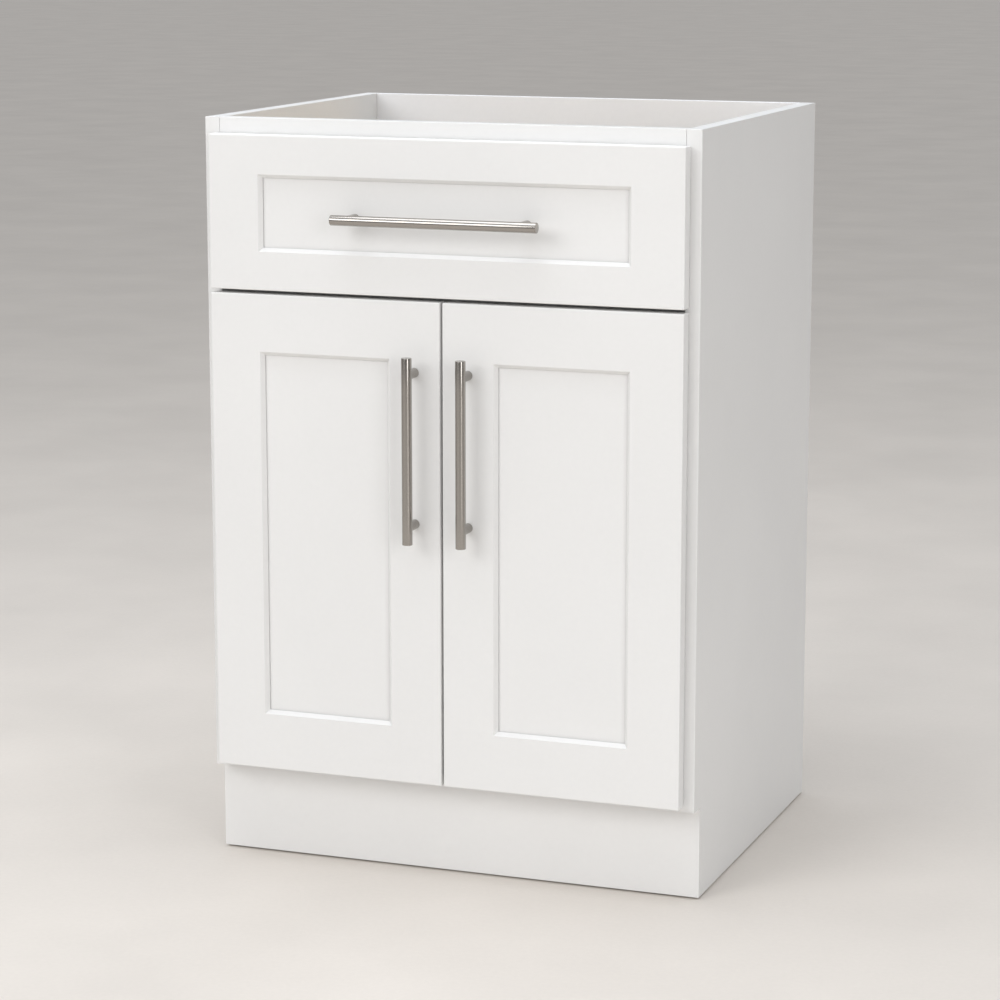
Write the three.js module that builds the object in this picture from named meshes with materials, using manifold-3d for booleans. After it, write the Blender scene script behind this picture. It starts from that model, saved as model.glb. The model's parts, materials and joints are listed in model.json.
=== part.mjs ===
// Bathroom vanity base cabinet: a white open-topped carcass with one wide drawer over two doors.
// Sizes are in millimetres, +Z is up, +X is the viewer's right and the fronts face -Y.
// Everything is built with y = 0 at the front edge of the side panels, and the last lines move the
// whole cabinet so that the origin is the middle of its footprint, pulls included, at floor level.
import * as THREE from "three";
import { mergeVertices } from "three/addons/utils/BufferGeometryUtils.js";
import Module from "manifold-3d";

const wasm = await Module();
wasm.setup();

// ---- driving dimensions ------------------------------------------------------------------------

const GAP = 0.3; // between pieces that touch
const RUN = 0.4; // radial clearance round a pin

const CABINET = { width: 600, height: 886, depth: 486 };
const BOARD = 18; // side panels, floor and rails
const BACK_THICKNESS = 12;
const TOE = { height: 110, setback: 22, thickness: 16 };
const TOP_RAIL_HEIGHT = 40;
const MIDDLE_RAIL = { bottom: 678, setback: 20, depth: 80 };

const FRONT = { thickness: 18, standoff: 2 }; // doors and drawer front, and their gap to the carcass
const SIDE_REVEAL = 12.5; // side panel left showing beside the fronts
const DOOR = { bottom: 117, top: 684.5, stile: 62, rail: 67, meetingGap: 3 };
const DRAWER_FRONT = { bottom: 689, top: 868, stile: 62, rail: 45 };
const PANEL = { recess: 6.5, thickness: 6, tongue: 7 }; // the flat panel set into each front's frame
const GROOVE_SPARE = 1; // depth of the panel's groove beyond its tongue
const CHAMFER = 4.2; // width of the sloping inner edge of the frames

const PULL = { diameter: 12, postDiameter: 11.4, axisOut: 24, overhang: 20, endChamfer: 0.5 };
const DOOR_PULL = { centres: 176, height: 515, fromMiddle: 32.7 };
const DRAWER_PULL = { centres: 208, height: 776 };

const BOX = { width: 538, bottom: 706, height: 110, length: 400, board: 12, base: 6, baseUp: 10 };
const SLIDE = { length: 400, start: 2, height: 45, sheet: 1.2, centre: 761 };

// Concealed hinge. "Across" is measured from the door's outer edge towards its middle, y as above.
const HINGE = {
  heights: { upper: 600, lower: 203 },
  cup: { across: 22, radius: 17.5, depth: 12, wall: 1 },
  flange: { radius: 19.5, thickness: 1, earAcross: 28, earOut: 24, earRadius: 6.5 },
  cupPin: { across: 9.5, y: -5.7, radius: 1.1 },
  armPin: { across: 26, y: -1.5, radius: 1.2 },
  linkHalfWidth: 5,
  linkHalfSheet: 1,
  armHalfWidth: 8.5,
  armSheet: 1.5,
  armFace: 17.2, // across to the outside of the arm's channel
  armTail: 8, // how far the arm runs back past its plate
  noseRadius: 3,
  plate: {
    sheet: 2.8,
    front: 22,
    back: 56,
    halfWidth: 9,
    wingHalf: 28,
    wingDepth: 13,
    pad: 4.6,
    padHalf: 5.5,
  },
};
const ROUND = 36; // segments in a hinge cup

// ---- derived places ----------------------------------------------------------------------------

const halfWidth = CABINET.width / 2;
const innerHalf = halfWidth - BOARD; // inner face of the side panels
const frontBack = -FRONT.standoff; // back face of the doors and drawer front
const frontFace = frontBack - FRONT.thickness; // their front face
const frontEdge = halfWidth - SIDE_REVEAL; // their outer edge
const panelFront = frontFace + PANEL.recess;
const panelBack = panelFront + PANEL.thickness;
const doorInner = DOOR.meetingGap / 2;
const pullAxis = frontFace - PULL.axisOut;
const footprintFront = pullAxis - PULL.diameter / 2;

// ---- shape helpers -----------------------------------------------------------------------------

const box = (x0, x1, y0, y1, z0, z1) =>
  new THREE.BoxGeometry(x1 - x0, y1 - y0, z1 - z0).translate((x0 + x1) / 2, (y0 + y1) / 2, (z0 + z1) / 2);

const outline = (points) => new THREE.Shape(points.map(([a, b]) => new THREE.Vector2(a, b)));

/** Extrudes an outline in x and y from height z0 to z1. */
const upright = (shape, z0, z1) =>
  new THREE.ExtrudeGeometry(shape, { depth: z1 - z0, bevelEnabled: false }).translate(0, 0, z0);

/** Extrudes an outline in y and z from x0 to x1. */
const crosswise = (shape, x0, x1) => {
  const axes = new THREE.Matrix4().makeBasis(
    new THREE.Vector3(0, 1, 0),
    new THREE.Vector3(0, 0, 1),
    new THREE.Vector3(1, 0, 0),
  );
  const made = new THREE.ExtrudeGeometry(shape, { depth: x1 - x0, bevelEnabled: false });
  return made.applyMatrix4(axes).translate(x0, 0, 0);
};

/** Extrudes an outline in x and z from y0 back to y1. */
const lengthwise = (shape, y0, y1) =>
  new THREE.ExtrudeGeometry(shape, { depth: y1 - y0, bevelEnabled: false })
    .rotateX(Math.PI / 2)
    .translate(0, y1, 0);

/** A cylinder round a vertical axis. */
const pin = (x, y, z0, z1, radius, segments = 16) =>
  new THREE.CylinderGeometry(radius, radius, z1 - z0, segments)
    .rotateX(Math.PI / 2)
    .translate(x, y, (z0 + z1) / 2);

/** A cylinder whose axis runs front to back. */
const plug = (x, y0, y1, z, radius, segments = ROUND) =>
  new THREE.CylinderGeometry(radius, radius, y1 - y0, segments).translate(x, (y0 + y1) / 2, z);

const solid = (geometry) => {
  const bare = (geometry.index ? geometry.toNonIndexed() : geometry.clone()).deleteAttribute("normal");
  bare.deleteAttribute("uv");
  const merged = mergeVertices(bare, 1e-4);
  const mesh = new wasm.Mesh({
    numProp: 3,
    vertProperties: new Float32Array(merged.attributes.position.array),
    triVerts: new Uint32Array(merged.index.array),
  });
  return new wasm.Manifold(mesh);
};

const fromSolid = (made) => {
  const { vertProperties, triVerts } = made.getMesh();
  const geometry = new THREE.BufferGeometry();
  geometry.setAttribute("position", new THREE.BufferAttribute(new Float32Array(vertProperties), 3));
  geometry.setIndex(new THREE.BufferAttribute(new Uint32Array(triVerts), 1));
  geometry.computeVertexNormals();
  return geometry;
};

/** Joins the first geometries and takes the others away, giving one closed geometry. */
const carve = (joined, taken = []) => {
  let made = solid(joined[0]);
  for (const piece of joined.slice(1)) made = made.add(solid(piece));
  for (const piece of taken) made = made.subtract(solid(piece));
  return fromSolid(made);
};

/** What two geometries share. */
const common = (a, b) => fromSolid(solid(a).intersect(solid(b)));

// ---- finishes ----------------------------------------------------------------------------------

const finish = (color, roughness, metalness = 0) =>
  new THREE.MeshStandardMaterial({ color, roughness, metalness });
const whitePaint = finish(0xececea, 0.42);
const whiteBoard = finish(0xe6e5e3, 0.5);
const birch = finish(0xd9c19a, 0.55);
const brushedNickel = finish(0x9b9690, 0.32, 1);
const platedSteel = finish(0xb4b4b2, 0.28, 1);
const zincSteel = finish(0xa9acad, 0.38, 1);

const cabinet = new THREE.Group();

const add = (name, geometry, material, side = 1) => {
  const mesh = new THREE.Mesh(geometry, material);
  mesh.name = name;
  mesh.scale.x = side; // -1 mirrors a left-hand piece to the right
  cabinet.add(mesh);
  return mesh;
};

const SIDES = [
  ["left", 1],
  ["right", -1],
];

// ---- carcass -----------------------------------------------------------------------------------

const sidePanel = () => {
  const notchBack = TOE.setback + TOE.thickness;
  const profile = outline([
    [0, TOE.height],
    [notchBack, TOE.height],
    [notchBack, 0],
    [CABINET.depth, 0],
    [CABINET.depth, CABINET.height],
    [0, CABINET.height],
  ]);
  return crosswise(profile, -halfWidth, -innerHalf);
};

const addCarcass = () => {
  for (const [label, side] of SIDES) add(`${label}_side_panel`, sidePanel(), whitePaint, side);
  const inside = innerHalf - GAP;
  const backFront = CABINET.depth - BACK_THICKNESS;
  const floorTop = TOE.height + BOARD;
  const middleTop = MIDDLE_RAIL.bottom + BOARD;
  const middleFront = MIDDLE_RAIL.setback;
  const middleBack = middleFront + MIDDLE_RAIL.depth;
  const railBottom = CABINET.height - TOP_RAIL_HEIGHT;
  const toeBack = TOE.setback + TOE.thickness - GAP;
  const across = (y0, y1, z0, z1) => box(-inside, inside, y0, y1, z0, z1);
  add("cabinet_floor", across(0, backFront - GAP, TOE.height, floorTop), whiteBoard);
  add("back_panel", across(backFront, CABINET.depth, 0, CABINET.height), whiteBoard);
  add("top_front_rail", across(0, BOARD, railBottom, CABINET.height), whitePaint);
  add("middle_rail", across(middleFront, middleBack, MIDDLE_RAIL.bottom, middleTop), whitePaint);
  add("toe_kick_board", box(-halfWidth, halfWidth, TOE.setback, toeBack, 0, TOE.height - GAP), whitePaint);
};

// ---- framed fronts -----------------------------------------------------------------------------

/** Section of a frame member: face width w, then the sloping edge and the groove that holds the panel. */
const memberSection = (w) => {
  const full = w + CHAMFER;
  const grooveFront = panelFront - GAP;
  const grooveBack = panelBack + GAP;
  const grooveEnd = full - PANEL.tongue - GROOVE_SPARE;
  return [
    [0, frontFace],
    [w, frontFace],
    [full, grooveFront],
    [grooveEnd, grooveFront],
    [grooveEnd, grooveBack],
    [full, grooveBack],
    [full, frontBack],
    [0, frontBack],
  ];
};

/** Takes the stile's sloping edge and everything outside it, so that a rail's end fits over the stile. */
const copingCutter = (w, z0, z1) => {
  const full = w + CHAMFER + GAP;
  const margin = 5;
  const profile = outline([
    [-margin, frontFace - margin],
    [w + GAP, frontFace - margin],
    [w + GAP, frontFace],
    [full, panelFront - GAP],
    [full, frontBack + margin],
    [-margin, frontBack + margin],
  ]);
  return upright(profile, z0 - margin, z1 + margin);
};

const mirrorX = (geometry) => {
  const made = geometry.clone().scale(-1, 1, 1);
  const index = made.index ? made.index.array : null;
  if (index) {
    for (let i = 0; i < index.length; i += 3) [index[i + 1], index[i + 2]] = [index[i + 2], index[i + 1]];
    return made;
  }
  const p = made.attributes.position.array;
  for (let i = 0; i < p.length; i += 9)
    for (let k = 0; k < 3; k++) [p[i + 3 + k], p[i + 6 + k]] = [p[i + 6 + k], p[i + 3 + k]];
  return made;
};

/** The parts of one framed front between x = 0 and width: two stiles, two rails and the flat panel. */
const framedFront = ({ width, bottom, top, stile, rail }) => {
  const sideInset = stile + CHAMFER - PANEL.tongue;
  const railInset = rail + CHAMFER - PANEL.tongue;
  const tenonStart = sideInset + GAP;
  const section = memberSection(stile);
  const railSection = memberSection(rail);
  const left = upright(outline(section), bottom, top);
  const right = mirrorX(left).translate(width, 0, 0);
  const makeRail = (fromZ, direction) => {
    const profile = outline(railSection.map(([w, y]) => [y, fromZ + direction * w]));
    const body = crosswise(profile, stile, width - stile);
    const ends = [fromZ, fromZ + direction * (railInset - GROOVE_SPARE)]; // fills the stiles' grooves
    const tenons = box(
      tenonStart,
      width - tenonStart,
      panelFront + GAP,
      panelBack - GAP,
      Math.min(...ends),
      Math.max(...ends),
    );
    const cutter = copingCutter(stile, bottom, top);
    const shaped = carve([body], [cutter, mirrorX(cutter).translate(width, 0, 0)]);
    return carve([shaped, tenons]);
  };
  const sill = bottom + railInset;
  const panel = box(sideInset, width - sideInset, panelFront, panelBack, sill, top - railInset);
  return { left, right, topRail: makeRail(top, -1), bottomRail: makeRail(bottom, 1), panel };
};

// ---- bar pulls ---------------------------------------------------------------------------------

/** A bar along local X with its middle at the origin, standing out towards -Y on two posts. */
const barPull = (centres) => {
  const radius = PULL.diameter / 2;
  const half = centres / 2 + PULL.overhang;
  const c = PULL.endChamfer;
  const profile = [
    [0, -half],
    [radius - c, -half],
    [radius, -half + c],
    [radius, half - c],
    [radius - c, half],
    [0, half],
  ].map(([r, along]) => new THREE.Vector2(r, along));
  const bar = new THREE.LatheGeometry(profile, 28).rotateZ(-Math.PI / 2).translate(0, pullAxis, 0);
  const seat = new THREE.CylinderGeometry(radius + GAP, radius + GAP, PULL.diameter * 2, 28)
    .rotateZ(Math.PI / 2)
    .translate(0, pullAxis, 0);
  const post = carve([plug(0, pullAxis, frontFace - GAP, 0, PULL.postDiameter / 2, 24)], [seat]);
  return { bar, posts: [post.clone().translate(-centres / 2, 0, 0), post.translate(centres / 2, 0, 0)] };
};

const addPull = (names, centres, x, z, vertical) => {
  const { bar, posts } = barPull(centres);
  [bar, ...posts].forEach((geometry, i) => {
    if (vertical) geometry.rotateY(Math.PI / 2);
    add(names[i], geometry.translate(x, 0, z), brushedNickel);
  });
};

// ---- doors -------------------------------------------------------------------------------------

const hingeHeights = Object.entries(HINGE.heights);
const doorWidth = frontEdge - doorInner;

const addDoors = () => {
  const { cup } = HINGE;
  const parts = framedFront({ width: doorWidth, ...DOOR });
  const bores = hingeHeights.map(([, z]) =>
    plug(cup.across, frontBack - cup.depth - GAP, frontBack + 5, z, cup.radius + GAP),
  );
  const outerStile = carve([parts.left], bores);
  const pieces = {
    outer_stile: outerStile,
    inner_stile: parts.right,
    top_rail: parts.topRail,
    bottom_rail: parts.bottomRail,
    panel: parts.panel,
  };
  for (const [label, side] of SIDES) {
    for (const [piece, geometry] of Object.entries(pieces))
      add(`${label}_door_${piece}`, geometry.clone().translate(-frontEdge, 0, 0), whitePaint, side);
    const pullNames = ["pull_bar", "pull_upper_post", "pull_lower_post"].map((n) => `${label}_door_${n}`);
    addPull(pullNames, DOOR_PULL.centres, -side * DOOR_PULL.fromMiddle, DOOR_PULL.height, true);
  }
};

// ---- concealed hinges --------------------------------------------------------------------------

const hingeCup = () => {
  const { cup, flange, cupPin } = HINGE;
  const seat = frontBack + GAP; // the flange lies on the door's back face
  const flangeTop = seat + flange.thickness;
  const wallTop = seat + flange.thickness / 2;
  const floor = frontBack - cup.depth;
  const inner = cup.radius - cup.wall;
  const ear = (z) => plug(flange.earAcross, seat, flangeTop, z, flange.earRadius, 20);
  const bridge = box(
    flange.earAcross - flange.earRadius,
    flange.earAcross + flange.earRadius,
    seat,
    flangeTop,
    -flange.earOut,
    flange.earOut,
  );
  const shell = carve(
    [
      plug(cup.across, floor, wallTop, 0, cup.radius),
      plug(cup.across, seat, flangeTop, 0, flange.radius),
      bridge,
      ear(flange.earOut),
      ear(-flange.earOut),
    ],
    [plug(cup.across, floor + cup.wall, flangeTop + 5, 0, inner)],
  );
  const rod = pin(cupPin.across, cupPin.y, -cup.radius, cup.radius, cupPin.radius, 12);
  return carve([shell, common(rod, plug(cup.across, floor, wallTop, 0, cup.radius))]);
};

/** The bent link between the pin in the cup and the pin in the arm's nose. */
const hingeLink = () => {
  const { cupPin, armPin, linkHalfWidth: w, linkHalfSheet: t } = HINGE;
  const path = new THREE.CatmullRomCurve3(
    [
      [cupPin.across, cupPin.y],
      [cupPin.across + 1.0, cupPin.y - 3.2],
      [cupPin.across + 5.0, cupPin.y - 5.2],
      [armPin.across - 4.0, armPin.y - 4.0],
      [armPin.across, armPin.y],
    ].map(([x, y]) => new THREE.Vector3(x, y, 0)),
  );
  const steps = 14;
  const rails = [1, -1].map((s) =>
    Array.from({ length: steps + 1 }, (_, i) => {
      const p = path.getPoint(i / steps);
      const d = path.getTangent(i / steps);
      return [p.x - s * t * d.y, p.y + s * t * d.x];
    }),
  );
  const strip = upright(outline([...rails[1], ...rails[0].reverse()]), -w, w);
  const eye = (p) => pin(p.across, p.y, -w, w, p.radius + RUN + 0.9, 20);
  const hole = (p) => pin(p.across, p.y, -w - 1, w + 1, p.radius + RUN, 16);
  return carve([strip, eye(cupPin), eye(armPin)], [hole(cupPin), hole(armPin)]);
};

/** The cranked arm: a folded channel, open towards the side panel, whose nose reaches into the cup. */
const hingeArm = () => {
  const { armPin, armHalfWidth: w, armSheet: t, armFace: web, noseRadius, plate } = HINGE;
  const { across: nx, y: ny } = armPin;
  const panelSide = SIDE_REVEAL - BOARD; // the side panel's inner face is at -panelSide across
  const low = -panelSide + GAP + plate.sheet + GAP;
  const rear = plate.back + HINGE.armTail;
  const nose = Array.from({ length: 9 }, (_, i) => {
    const a = Math.PI * (1.05 + (0.95 * i) / 8);
    return [nx + noseRadius * Math.cos(a), ny + noseRadius * Math.sin(a)];
  });
  const side = [[low, rear], [low, 10], [11, 4], [14, 1.6], [nx - 4, 1.4], ...nose];
  const crank = [[nx + 3.4, 3], [nx, 9], [18.6, 12.6], [web, 16.5], [web, rear]];
  const body = upright(outline([...side, ...crank]), -w, w);
  const hollow = outline([
    [0, rear + 5],
    [0, -12],
    [nx + 8, -12],
    [nx + 8, 3.4],
    [nx + 1.9, 3.4],
    [nx - 1, 7.8],
    [17.3, 11.4],
    [web - t, 15.8],
    [web - t, rear + 5],
  ]);
  const channel = carve([body], [upright(hollow, -w + t, w - t)]);
  return carve([channel, pin(nx, ny, -w, w, armPin.radius, 12)]);
};

/** The cross-shaped plate screwed to the side panel, with the raised pad that the arm clips over. */
const hingePlate = () => {
  const { plate } = HINGE;
  const u0 = BOARD - SIDE_REVEAL + GAP;
  const u1 = u0 + plate.sheet;
  const middle = (plate.front + plate.back) / 2;
  const halfWing = plate.wingDepth / 2;
  return carve([
    box(u0, u1, plate.front, plate.back, -plate.halfWidth, plate.halfWidth),
    box(u0, u1, middle - halfWing, middle + halfWing, -plate.wingHalf, plate.wingHalf),
    box(u0, u1 + plate.pad, plate.front + 6, plate.back - 4, -plate.padHalf, plate.padHalf),
  ]);
};

const addHinges = () => {
  const parts = {
    plate: [hingePlate(), zincSteel],
    arm: [hingeArm(), platedSteel],
    link: [hingeLink(), platedSteel],
    cup: [hingeCup(), platedSteel],
  };
  for (const [label, side] of SIDES)
    for (const [level, z] of hingeHeights)
      for (const [piece, [geometry, material]] of Object.entries(parts)) {
        const placed = geometry.clone().translate(-frontEdge, 0, z);
        add(`${label}_${level}_hinge_${piece}`, placed, material, side);
      }
};

// ---- drawer ------------------------------------------------------------------------------------

const addDrawerFront = () => {
  const parts = framedFront({ width: 2 * frontEdge, ...DRAWER_FRONT });
  const pieces = {
    left_stile: parts.left,
    right_stile: parts.right,
    top_rail: parts.topRail,
    bottom_rail: parts.bottomRail,
    panel: parts.panel,
  };
  for (const [piece, geometry] of Object.entries(pieces))
    add(`drawer_front_${piece}`, geometry.translate(-frontEdge, 0, 0), whitePaint);
};

const addDrawerBox = () => {
  const half = BOX.width / 2;
  const start = frontBack + GAP;
  const end = start + BOX.length;
  const top = BOX.bottom + BOX.height;
  const between = half - BOX.board - GAP;
  const groove = BOX.board / 2;
  const base0 = BOX.bottom + BOX.baseUp;
  const base1 = base0 + BOX.base;
  const grooves = box(
    -half + groove - GAP,
    half - groove + GAP,
    start + groove - GAP,
    end - groove + GAP,
    base0 - GAP,
    base1 + GAP,
  );
  const wall = (x0, x1, y0, y1) => carve([box(x0, x1, y0, y1, BOX.bottom, top)], [grooves]);
  for (const [label, side] of SIDES)
    add(`drawer_box_${label}_side`, wall(-half, -half + BOX.board, start, end), birch, side);
  add("drawer_box_front", wall(-between, between, start, start + BOX.board), birch);
  add("drawer_box_back", wall(-between, between, end - BOX.board, end), birch);
  const base = box(-half + groove, half - groove, start + groove, end - groove, base0, base1);
  add("drawer_box_bottom", base, birch);
};

/** Section of a slide member: a channel with returned lips, from the web at x0 out to x1. */
const channelSection = (x0, x1, halfHeight, lip) => {
  const t = SLIDE.sheet * Math.sign(x1 - x0);
  const s = SLIDE.sheet;
  const h = halfHeight;
  const upper = [
    [x1, h],
    [x1, h - s - lip],
    [x1 - t, h - s - lip],
    [x1 - t, h - s],
    [x0 + t, h - s],
  ];
  const lower = upper.map(([x, z]) => [x, -z]).reverse();
  return outline([[x0, -h], [x0, h], ...upper, ...lower]);
};

const addSlides = () => {
  const panelFace = -innerHalf + GAP;
  const boxFace = -BOX.width / 2 - GAP;
  const half = SLIDE.height / 2;
  const y1 = SLIDE.start + SLIDE.length;
  const members = {
    cabinet_member: channelSection(panelFace, panelFace + 9, half, 2),
    middle_member: channelSection(panelFace + 2.2, panelFace + 10.4, half - 4, 2),
    drawer_member: channelSection(boxFace, boxFace - 7.6, half - 8, 0.8),
  };
  for (const [label, side] of SIDES)
    for (const [piece, section] of Object.entries(members)) {
      const geometry = lengthwise(section, SLIDE.start, y1).translate(0, 0, SLIDE.centre);
      add(`${label}_slide_${piece}`, geometry, zincSteel, side);
    }
};

addCarcass();
addDoors();
addHinges();
addDrawerFront();
addDrawerBox();
addSlides();
addPull(
  ["drawer_pull_bar", "drawer_pull_left_post", "drawer_pull_right_post"],
  DRAWER_PULL.centres,
  0,
  DRAWER_PULL.height,
  false,
);

cabinet.position.y = -(CABINET.depth + footprintFront) / 2;

export default cabinet;
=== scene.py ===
"""Bathroom vanity cabinet: finished meshes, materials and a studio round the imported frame.

The cabinet is a white open-topped box with a wide drawer over two framed doors, bar pulls and
concealed hinges. Every place and size comes from the frame; all units are metres.
"""

import json
import math

import bmesh
import bpy
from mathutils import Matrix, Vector

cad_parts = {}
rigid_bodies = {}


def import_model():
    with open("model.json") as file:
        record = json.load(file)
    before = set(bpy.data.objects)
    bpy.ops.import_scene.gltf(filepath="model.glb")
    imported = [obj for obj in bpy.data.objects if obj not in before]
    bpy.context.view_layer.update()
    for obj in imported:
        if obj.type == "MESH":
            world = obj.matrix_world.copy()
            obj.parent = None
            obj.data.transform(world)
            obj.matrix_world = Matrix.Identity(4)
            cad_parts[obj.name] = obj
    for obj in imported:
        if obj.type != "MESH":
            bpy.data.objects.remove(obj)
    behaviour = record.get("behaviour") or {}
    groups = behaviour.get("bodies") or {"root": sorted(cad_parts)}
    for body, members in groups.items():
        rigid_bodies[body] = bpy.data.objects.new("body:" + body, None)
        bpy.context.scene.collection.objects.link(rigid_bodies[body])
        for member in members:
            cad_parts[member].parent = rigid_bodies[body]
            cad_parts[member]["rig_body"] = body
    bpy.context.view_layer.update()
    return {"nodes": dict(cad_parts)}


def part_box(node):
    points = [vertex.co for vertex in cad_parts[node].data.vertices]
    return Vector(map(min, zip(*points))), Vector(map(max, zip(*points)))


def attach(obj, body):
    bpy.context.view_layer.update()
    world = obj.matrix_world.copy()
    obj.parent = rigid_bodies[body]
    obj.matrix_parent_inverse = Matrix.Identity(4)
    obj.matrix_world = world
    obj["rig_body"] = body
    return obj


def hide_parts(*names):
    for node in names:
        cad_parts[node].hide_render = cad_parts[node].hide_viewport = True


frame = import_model()

bl_info = {
    "name": "Bathroom Vanity Cabinet",
    "version": (1, 0, 0),
    "blender": (4, 5, 0),
    "location": "View3D > Sidebar > Vanity",
    "description": "Builds a white vanity cabinet with framed fronts, bar pulls, hinges and slides",
    "category": "Add Mesh",
}

MM = 0.001
JOINT_GAP = 0.3 * MM  # the frame leaves this between touching boards
GROOVE_SPARE = 1.0 * MM  # depth left over at the bottom of the stiles' grooves
NEAR = 0.05 * MM  # two coordinates closer than this are the same
WELD = 0.01 * MM  # corners closer than this are merged
FLOOR_GAP = 2.6 * MM  # height of the shadow line under the cabinet's outer faces
FLOOR_GAP_DEPTH = 10 * MM
SHADOW_LINE = 1.0 * MM  # extra gap where a frame's sloping edge meets its panel
SIDES = ("left", "right")
INWARD = {"left": 1, "right": -1}  # the way along x from each side to the middle
LEVELS = ("upper", "lower")
BACKWARD = (0, 1, 0)


# ---- settings ----------------------------------------------------------------------------------

COLOUR = {"subtype": "COLOR", "size": 3, "min": 0, "max": 1}
LENGTH = {"subtype": "DISTANCE", "unit": "LENGTH"}
ANGLE = {"subtype": "ANGLE", "unit": "ROTATION"}


class VanityFinish(bpy.types.PropertyGroup):
    """Colours of the cabinet's finishes."""

    paint: bpy.props.FloatVectorProperty(
        name="Paint",
        description="Satin paint on the fronts, sides and toe kick",
        default=(0.83, 0.825, 0.815),
        **COLOUR,
    )
    board: bpy.props.FloatVectorProperty(
        name="Board",
        description="Coated board inside the cabinet",
        default=(0.85, 0.85, 0.86),
        **COLOUR,
    )
    nickel: bpy.props.FloatVectorProperty(
        name="Nickel",
        description="Brushed nickel of the bar pulls",
        default=(0.39, 0.367, 0.34),
        **COLOUR,
    )
    birch: bpy.props.FloatVectorProperty(
        name="Birch",
        description="Lacquered birch plywood of the drawer box",
        default=(0.76, 0.62, 0.43),
        **COLOUR,
    )


class VanityDetail(bpy.types.PropertyGroup):
    """Sizes of the small things that the frame leaves to this file."""

    board_easing: bpy.props.FloatProperty(
        name="Board easing",
        description="Radius on the edges of the cabinet's boards",
        default=0.5 * MM,
        **LENGTH,
    )
    front_easing: bpy.props.FloatProperty(
        name="Front easing",
        description="Radius round the outside of the doors and drawer front",
        default=1.3 * MM,
        **LENGTH,
    )
    metal_easing: bpy.props.FloatProperty(
        name="Metal easing",
        description="Radius on the edges of the pressed steel parts",
        default=0.2 * MM,
        **LENGTH,
    )
    screw_head: bpy.props.FloatProperty(
        name="Screw head",
        description="Diameter of the hinges' screw heads",
        default=6.4 * MM,
        **LENGTH,
    )
    bumper: bpy.props.FloatProperty(
        name="Bumper",
        description="Diameter of the clear bumpers behind the doors",
        default=8.0 * MM,
        **LENGTH,
    )


class VanityStage(bpy.types.PropertyGroup):
    """The floor's colour and the camera."""

    floor: bpy.props.FloatVectorProperty(
        name="Floor",
        description="Pale floor under the cabinet",
        default=(0.75, 0.70, 0.645),
        **COLOUR,
    )
    lens: bpy.props.FloatProperty(
        name="Lens",
        description="Focal length of the camera in millimetres",
        unit="CAMERA",
        default=111.1,
    )
    turn: bpy.props.FloatProperty(
        name="Turn",
        description="How far the camera looks to the left of straight ahead",
        default=math.radians(20.32),
        **ANGLE,
    )
    tilt: bpy.props.FloatProperty(
        name="Tilt",
        description="How far the camera looks down",
        default=math.radians(10.97),
        **ANGLE,
    )
    place: bpy.props.FloatVectorProperty(
        name="Place",
        description="Where the camera stands",
        subtype="TRANSLATION",
        size=3,
        default=(1.268, -3.469, 1.130),
    )


# ---- shader node groups ------------------------------------------------------------------------


def feed(tree, socket, value):
    """Gives an input socket a plain value or a link."""
    if isinstance(value, bpy.types.NodeSocket):
        tree.links.new(value, socket)
    else:
        socket.default_value = value


def new_group(name, inputs):
    """A shader group with a vector input, the named inputs, and colour, roughness and height out."""
    group = bpy.data.node_groups.new(name, "ShaderNodeTree")
    group.interface.new_socket("Vector", in_out="INPUT", socket_type="NodeSocketVector")
    for label, value in inputs.items():
        colour = isinstance(value, tuple)
        kind = "NodeSocketColor" if colour else "NodeSocketFloat"
        group.interface.new_socket(label, in_out="INPUT", socket_type=kind).default_value = value
    for label in ("Color", "Roughness", "Height"):
        kind = "NodeSocketColor" if label == "Color" else "NodeSocketFloat"
        group.interface.new_socket(label, in_out="OUTPUT", socket_type=kind)
    return group, group.nodes.new("NodeGroupInput"), group.nodes.new("NodeGroupOutput")


def scaled(tree, vector, factors):
    """Stretches a vector by its own factor on each axis."""
    node = tree.nodes.new("ShaderNodeVectorMath")
    node.operation = "MULTIPLY"
    tree.links.new(vector, node.inputs[0])
    node.inputs[1].default_value = factors
    return node.outputs[0]


def dimmed(tree, colour, scale):
    """Multiplies a colour by a number or a socket."""
    node = tree.nodes.new("ShaderNodeVectorMath")
    node.operation = "SCALE"
    tree.links.new(colour, node.inputs[0])
    feed(tree, node.inputs["Scale"], scale)
    return node.outputs[0]


def noise(tree, vector, scale, detail=2.0, roughness=0.5):
    node = tree.nodes.new("ShaderNodeTexNoise")
    tree.links.new(vector, node.inputs["Vector"])
    feed(tree, node.inputs["Scale"], scale)
    node.inputs["Detail"].default_value = detail
    node.inputs["Roughness"].default_value = roughness
    return node.outputs["Fac"]


def sum_of(tree, a, b, weight_a, weight_b):
    """weight_a * a + weight_b * b."""
    first = tree.nodes.new("ShaderNodeMath")
    first.operation = "MULTIPLY"
    tree.links.new(a, first.inputs[0])
    first.inputs[1].default_value = weight_a
    second = tree.nodes.new("ShaderNodeMath")
    second.operation = "MULTIPLY_ADD"
    tree.links.new(b, second.inputs[0])
    second.inputs[1].default_value = weight_b
    tree.links.new(first.outputs[0], second.inputs[2])
    return second.outputs[0]


def ranged(tree, value, low, high, from_low=0.0, from_high=1.0):
    """Maps value to low..high; the ends may be numbers or sockets."""
    node = tree.nodes.new("ShaderNodeMapRange")
    tree.links.new(value, node.inputs["Value"])
    ends = {"From Min": from_low, "From Max": from_high, "To Min": low, "To Max": high}
    for label, end in ends.items():
        feed(tree, node.inputs[label], end)
    return node.outputs["Result"]


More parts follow.
